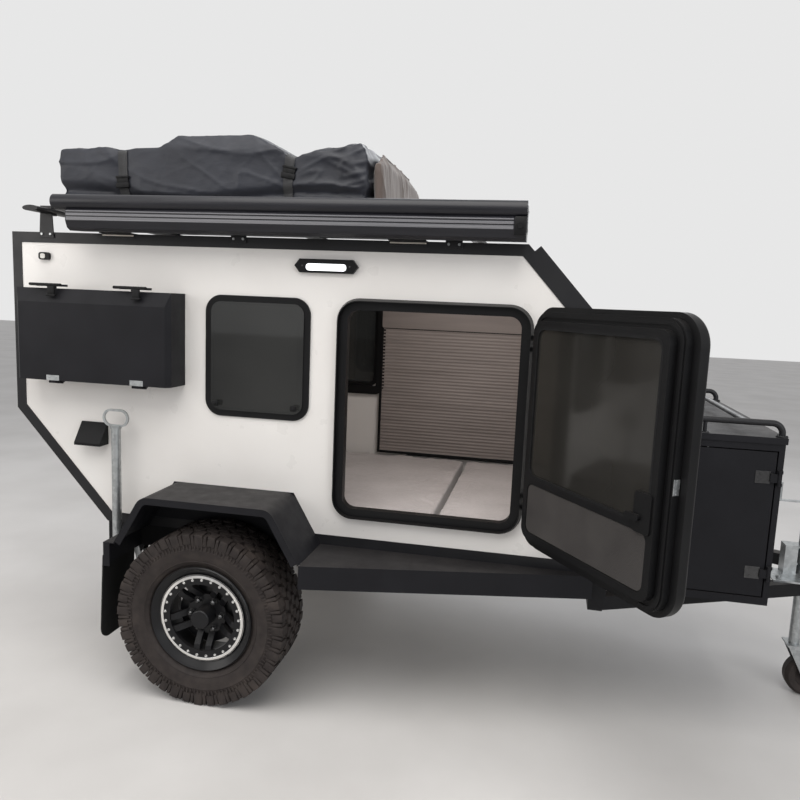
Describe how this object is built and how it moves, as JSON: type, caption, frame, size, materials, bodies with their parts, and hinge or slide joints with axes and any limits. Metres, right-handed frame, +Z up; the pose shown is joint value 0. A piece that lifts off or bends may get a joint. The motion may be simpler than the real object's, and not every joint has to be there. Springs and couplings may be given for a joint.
{
  "type": "squaredrop camper trailer",
  "caption": "Off-road squaredrop camper trailer: slim sandwich-panel cabin on one axle, side door open, side awning, folded roof tent, drawbar box and jockey jack.",
  "frame": {"origin": "centre of the tow ball in the coupling", "axes": "+X forward along the drawbar, +Y to the trailer's left, +Z up"},
  "size_m": [4.371, 2.4764, 2.518],
  "materials": {
    "panel_white": "smooth white fibreglass skin",
    "trim_black": "satin black powder coat",
    "chassis_black": "black chassis paint",
    "sheet_black": "fine-textured black powder coat",
    "frame_plastic": "moulded black plastic",
    "tail_red": "red lamp lens",
    "tent_canvas": "folded polycotton tent canvas",
    "smoked_acrylic": "smoked acrylic",
    "blind_fabric": "pleated blackout fabric",
    "tyre_rubber": "dusty tyre rubber",
    "rim_black": "satin black alloy with a machined ring",
    "galvanised": "zinc plated",
    "awning_grey": "anthracite powder coat",
    "tent_fabric": "coated black cover fabric",
    "mattress_fabric": "grey woven cover",
    "cabinet": "light laminate",
    "lamp_lens": "frosted lens",
    "flap_rubber": "sheet rubber",
    "spring_steel": "painted spring steel",
    "jockey_rubber": "solid rubber on a steel hub"
  },
  "bodies": {
    "trailer": {"chassis_frame": "chassis_black", "drawbar": "chassis_black", "coupling": "chassis_black", "axle": "chassis_black", "leaf_springs": "spring_steel", "spring_fittings": "galvanised", "fenders": "sheet_black", "mud_flaps": "flap_rubber", "running_boards": "sheet_black", "floor_panel": "cabinet", "wall_right": "panel_white", "wall_left": "panel_white", "roof_panel": "panel_white", "brow_panel": "panel_white", "brow_cover": "trim_black", "front_wall": "panel_white", "tail_panel": "panel_white", "rear_frame": "panel_white", "corner_trim": "trim_black", "door_frames": "frame_plastic", "doorway_blind": "blind_fabric", "window_frames": "frame_plastic", "window_panes": "smoked_acrylic", "bulkhead": "cabinet", "galley": "cabinet", "cabin_cupboard": "cabinet", "mattress_front": "mattress_fabric", "mattress_rear": "mattress_fabric", "side_box": "sheet_black", "porch_light": "frame_plastic", "porch_lens": "lamp_lens", "small_lamp": "frame_plastic", "inlet_hood": "frame_plastic", "leg_sockets": "chassis_black", "front_box": "sheet_black", "box_rail": "trim_black", "jack_body": "galvanised", "awning": "awning_grey", "roof_rack": "trim_black", "tent_base": "trim_black", "tent_cover": "tent_fabric", "tent_canvas": "tent_canvas", "tail_lamps": "tail_red"},
    "wheel_right": {"rim_right": "rim_black", "tyre_right": "tyre_rubber"},
    "wheel_left": {"rim_left": "rim_black", "tyre_left": "tyre_rubber"},
    "cabin_door_right": {"door_right": "frame_plastic", "door_pane_right": "smoked_acrylic"},
    "cabin_door_left": {"door_left": "frame_plastic", "door_pane_left": "smoked_acrylic"},
    "hatch": {"rear_hatch": "panel_white"},
    "side_lid": {"side_box_lid": "sheet_black"},
    "front_box_door_right": {"box_door_right": "sheet_black"},
    "front_box_door_left": {"box_door_left": "sheet_black"},
    "leg_right": {"drop_leg_right": "galvanised"},
    "leg_left": {"drop_leg_left": "galvanised"},
    "jack_ram": {"jack_leg": "galvanised"},
    "jockey_yoke": {"jockey_fork": "galvanised"},
    "jockey": {"jockey_wheel": "jockey_rubber"}
  },
  "joints": [
    {"name": "wheel_right_spin", "type": "hinge", "parent": "trailer", "child": "wheel_right", "pos_m": [-3.2, -0.8655, -0.1725], "axis": [0, 1, 0], "continuous": true},
    {"name": "wheel_left_spin", "type": "hinge", "parent": "trailer", "child": "wheel_left", "pos_m": [-3.2, 0.8655, -0.1725], "axis": [0, 1, 0], "continuous": true},
    {"name": "cabin_door_right_swing", "type": "hinge", "parent": "trailer", "child": "cabin_door_right", "pos_m": [-1.85, -0.757, 0.743], "axis": [0, 0, 1], "range_deg": [-124.5, 15]},
    {"name": "cabin_door_left_swing", "type": "hinge", "parent": "trailer", "child": "cabin_door_left", "pos_m": [-1.85, 0.757, 0.743], "axis": [0, 0, -1], "range_deg": [0, 139.5]},
    {"name": "hatch_lift", "type": "hinge", "parent": "trailer", "child": "hatch", "pos_m": [-4.317, 0, 1.434], "axis": [0, 1, 0], "range_deg": [0, 95]},
    {"name": "side_lid_drop", "type": "hinge", "parent": "trailer", "child": "side_lid", "pos_m": [-3.796, -0.822, 0.797], "axis": [1, 0, 0], "range_deg": [0, 90]},
    {"name": "front_box_door_right_swing", "type": "hinge", "parent": "trailer", "child": "front_box_door_right", "pos_m": [-0.862, -0.623, 0.381], "axis": [0, 0, 1], "range_deg": [0, 105]},
    {"name": "front_box_door_left_swing", "type": "hinge", "parent": "trailer", "child": "front_box_door_left", "pos_m": [-0.862, 0.623, 0.381], "axis": [0, 0, -1], "range_deg": [0, 105]},
    {"name": "leg_right_drop", "type": "slide", "parent": "trailer", "child": "leg_right", "axis": [0, 0, -1], "range_m": [0, 0.44]},
    {"name": "leg_left_drop", "type": "slide", "parent": "trailer", "child": "leg_left", "axis": [0, 0, -1], "range_m": [0, 0.44]},
    {"name": "jack_wind", "type": "slide", "parent": "trailer", "child": "jack_ram", "axis": [0, 0, 1], "range_m": [0, 0.2]},
    {"name": "jockey_swivel", "type": "hinge", "parent": "jack_ram", "child": "jockey_yoke", "pos_m": [-0.56, -0.128, -0.31], "axis": [0, 0, 1], "continuous": true},
    {"name": "jockey_roll", "type": "hinge", "parent": "jockey_yoke", "child": "jockey", "pos_m": [-0.49, -0.128, -0.46], "axis": [0, 1, 0], "continuous": true}
  ]
}
